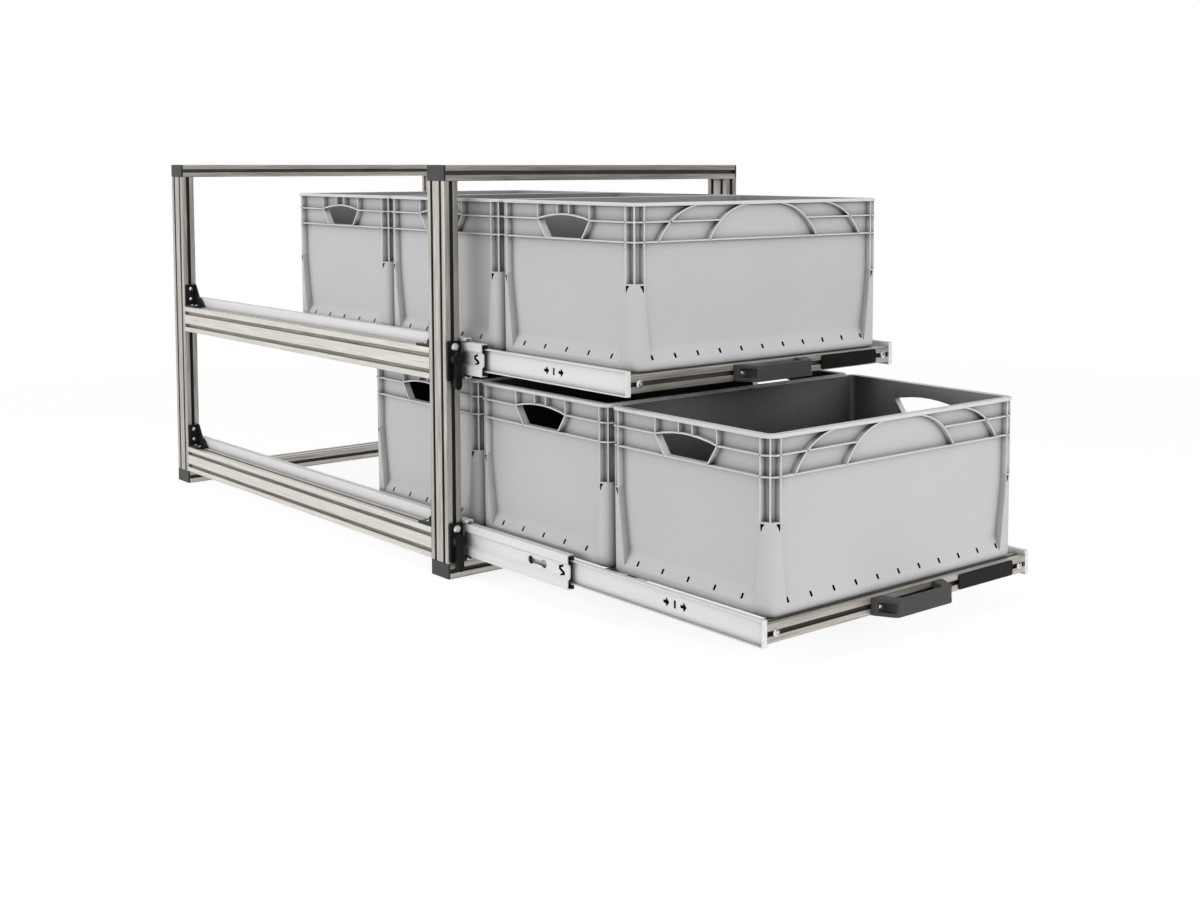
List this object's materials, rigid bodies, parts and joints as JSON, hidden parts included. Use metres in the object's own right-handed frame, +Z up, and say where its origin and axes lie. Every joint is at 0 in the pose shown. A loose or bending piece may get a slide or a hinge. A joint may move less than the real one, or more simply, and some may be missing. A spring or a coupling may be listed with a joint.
{
  "type": "two-tier pull-out cabinet rack",
  "caption": "Frame of slotted profile bars with two tiers of drawers on ball-bearing slides, each carrying open stacking boxes, with bow handles and turning locks on a front post.",
  "frame": {"origin": "middle of the front base rail's underside", "axes": "+X to the right seen from the front, +Y to the back, drawers open towards -Y, +Z up"},
  "size_m": [0.73, 2.109, 0.778],
  "materials": {
    "profile": "brushed, natural grey",
    "drawer_profile": "brushed, natural grey",
    "cap": "fine satin",
    "bracket": "black, semi-gloss",
    "slide": "bright zinc",
    "cage": "satin",
    "angle": "black",
    "handle": "fine grained",
    "plate": "black, semi-gloss",
    "box": "fine grained, light grey",
    "lock": "black, satin",
    "bright_screw": "bright"
  },
  "bodies": {
    "frame": {"front_left_post": "profile", "front_right_post": "profile", "rear_left_post": "profile", "rear_right_post": "profile", "top_front_rail": "profile", "top_rear_rail": "profile", "base_front_rail": "profile", "base_rear_rail": "profile", "rail_end_caps": "cap", "corner_brackets": "bracket", "lock_pivots": "bright_screw", "lower_left_side_rail": "profile", "lower_left_outer_slide": "slide", "lower_right_side_rail": "profile", "lower_right_outer_slide": "slide", "lower_lock_housing": "lock", "upper_left_side_rail": "profile", "upper_left_outer_slide": "slide", "upper_right_side_rail": "profile", "upper_right_outer_slide": "slide", "upper_lock_housing": "lock"},
    "lower_left_middle": {"lower_left_middle_slide": "slide", "lower_left_ball_cages": "cage"},
    "lower_right_middle": {"lower_right_middle_slide": "slide", "lower_right_ball_cages": "cage"},
    "lower_drawer": {"lower_left_inner_slide": "slide", "lower_right_inner_slide": "slide", "lower_front_bar": "drawer_profile", "lower_second_bar": "drawer_profile", "lower_third_bar": "drawer_profile", "lower_rear_bar": "drawer_profile", "lower_bar_angles": "angle", "lower_handle": "handle", "lower_badge_plate": "plate"},
    "lower_lock_lever": {"lower_lock_lever": "lock"},
    "lower_front_box": {"lower_front_box": "box"},
    "lower_middle_box": {"lower_middle_box": "box"},
    "lower_rear_box": {"lower_rear_box": "box"},
    "upper_left_middle": {"upper_left_middle_slide": "slide", "upper_left_ball_cages": "cage"},
    "upper_right_middle": {"upper_right_middle_slide": "slide", "upper_right_ball_cages": "cage"},
    "upper_drawer": {"upper_left_inner_slide": "slide", "upper_right_inner_slide": "slide", "upper_front_bar": "drawer_profile", "upper_second_bar": "drawer_profile", "upper_third_bar": "drawer_profile", "upper_rear_bar": "drawer_profile", "upper_bar_angles": "angle", "upper_handle": "handle", "upper_badge_plate": "plate"},
    "upper_lock_lever": {"upper_lock_lever": "lock"},
    "upper_front_box": {"upper_front_box": "box"},
    "upper_middle_box": {"upper_middle_box": "box"},
    "upper_rear_box": {"upper_rear_box": "box"}
  },
  "joints": [
    {"name": "lower_left_middle_travel", "type": "slide", "parent": "frame", "child": "lower_left_middle", "axis": [0, -1, 0], "range_m": [-0.327, 0.273]},
    {"name": "lower_right_middle_travel", "type": "slide", "parent": "frame", "child": "lower_right_middle", "axis": [0, -1, 0], "range_m": [-0.327, 0.273]},
    {"name": "lower_drawer_travel", "type": "slide", "parent": "lower_left_middle", "child": "lower_drawer", "axis": [0, -1, 0], "range_m": [-0.485, 0.115]},
    {"name": "lower_lock_turn", "type": "hinge", "parent": "frame", "child": "lower_lock_lever", "pos_m": [-0.35, -0.045, 0.074], "axis": [0, 1, 0], "range_deg": [0, 90]},
    {"name": "lower_front_box_lift", "type": "slide", "parent": "lower_drawer", "child": "lower_front_box", "axis": [0, 0, 1], "range_m": [0, 0.025]},
    {"name": "lower_middle_box_lift", "type": "slide", "parent": "lower_drawer", "child": "lower_middle_box", "axis": [0, 0, 1], "range_m": [0, 0.025]},
    {"name": "lower_rear_box_lift", "type": "slide", "parent": "lower_drawer", "child": "lower_rear_box", "axis": [0, 0, 1], "range_m": [0, 0.025]},
    {"name": "upper_left_middle_travel", "type": "slide", "parent": "frame", "child": "upper_left_middle", "axis": [0, -1, 0], "range_m": [-0.063, 0.537]},
    {"name": "upper_right_middle_travel", "type": "slide", "parent": "frame", "child": "upper_right_middle", "axis": [0, -1, 0], "range_m": [-0.063, 0.537]},
    {"name": "upper_drawer_travel", "type": "slide", "parent": "upper_left_middle", "child": "upper_drawer", "axis": [0, -1, 0], "range_m": [-0.421, 0.179]},
    {"name": "upper_lock_turn", "type": "hinge", "parent": "frame", "child": "upper_lock_lever", "pos_m": [-0.35, -0.045, 0.418], "axis": [0, 1, 0], "range_deg": [0, 90]},
    {"name": "upper_front_box_lift", "type": "slide", "parent": "upper_drawer", "child": "upper_front_box", "axis": [0, 0, 1], "range_m": [0, 0.025]},
    {"name": "upper_middle_box_lift", "type": "slide", "parent": "upper_drawer", "child": "upper_middle_box", "axis": [0, 0, 1], "range_m": [0, 0.025]},
    {"name": "upper_rear_box_lift", "type": "slide", "parent": "upper_drawer", "child": "upper_rear_box", "axis": [0, 0, 1], "range_m": [0, 0.025]}
  ],
  "couplings": [
    {"joint": "lower_right_middle_travel", "follows": "lower_left_middle_travel", "ratio": 1},
    {"joint": "upper_right_middle_travel", "follows": "upper_left_middle_travel", "ratio": 1}
  ]
}
